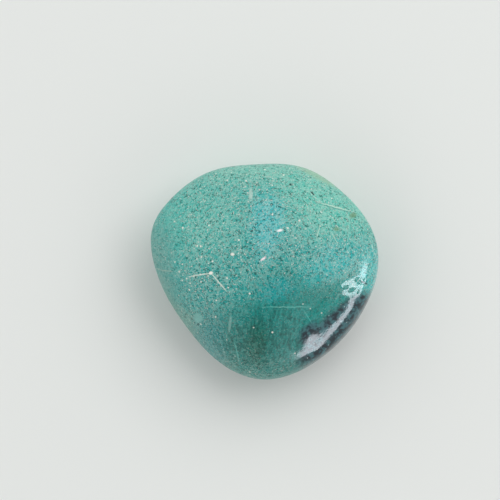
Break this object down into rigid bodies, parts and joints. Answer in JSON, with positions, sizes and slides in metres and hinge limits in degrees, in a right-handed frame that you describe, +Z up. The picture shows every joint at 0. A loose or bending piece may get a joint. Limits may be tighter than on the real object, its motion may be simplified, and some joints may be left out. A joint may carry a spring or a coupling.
{
  "type": "tumbled chrysocolla pebble",
  "caption": "Tumbled, polished chrysocolla pebble: blue-green with a pale fibrous haze and a black patch, a rounded triangle from above, lying on its flat spot.",
  "frame": {"origin": "on the surface that the pebble rests on, under the middle of its outline from above", "axes": "+X along its longest extent, +Y towards the broad upper side of its outline, +Z up, away from the spot it rests on"},
  "size_m": [0.0318, 0.0302, 0.016],
  "materials": {
    "polished_stone": "tumbled polish, glossier where the stone is dark and clear, satin where it is pale and fibrous"
  },
  "bodies": {
    "root": {"chrysocolla_stone": "polished_stone"}
  },
  "joints": []
}
